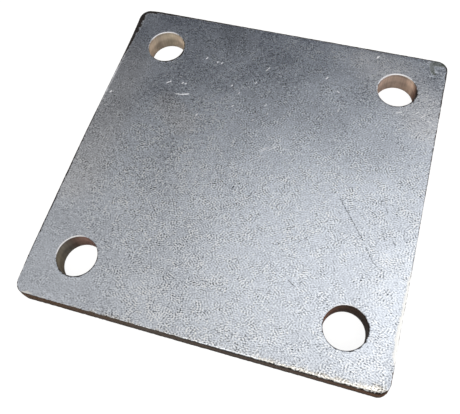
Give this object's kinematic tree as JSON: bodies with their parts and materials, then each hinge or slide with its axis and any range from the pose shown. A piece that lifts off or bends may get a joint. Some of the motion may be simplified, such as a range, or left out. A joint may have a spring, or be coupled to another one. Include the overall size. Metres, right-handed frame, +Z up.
{
  "type": "u-bolt plate",
  "caption": "Flat square steel plate with a round hole near each corner for the threaded legs of U-bolts; edges and hole rims worn round.",
  "frame": {"origin": "centre of the lower face, the face that bears on the clamped tube", "axes": "+Z up through the plate, out of the face that the nuts bear on; +X right and +Y back along the plate's edges"},
  "size_m": [0.12, 0.12, 0.008],
  "materials": {
    "steel": "bare steel tumbled to a fine satin mottle, brown scale left on the cut walls"
  },
  "bodies": {
    "root": {"u_bolt_plate": "steel"}
  },
  "joints": []
}
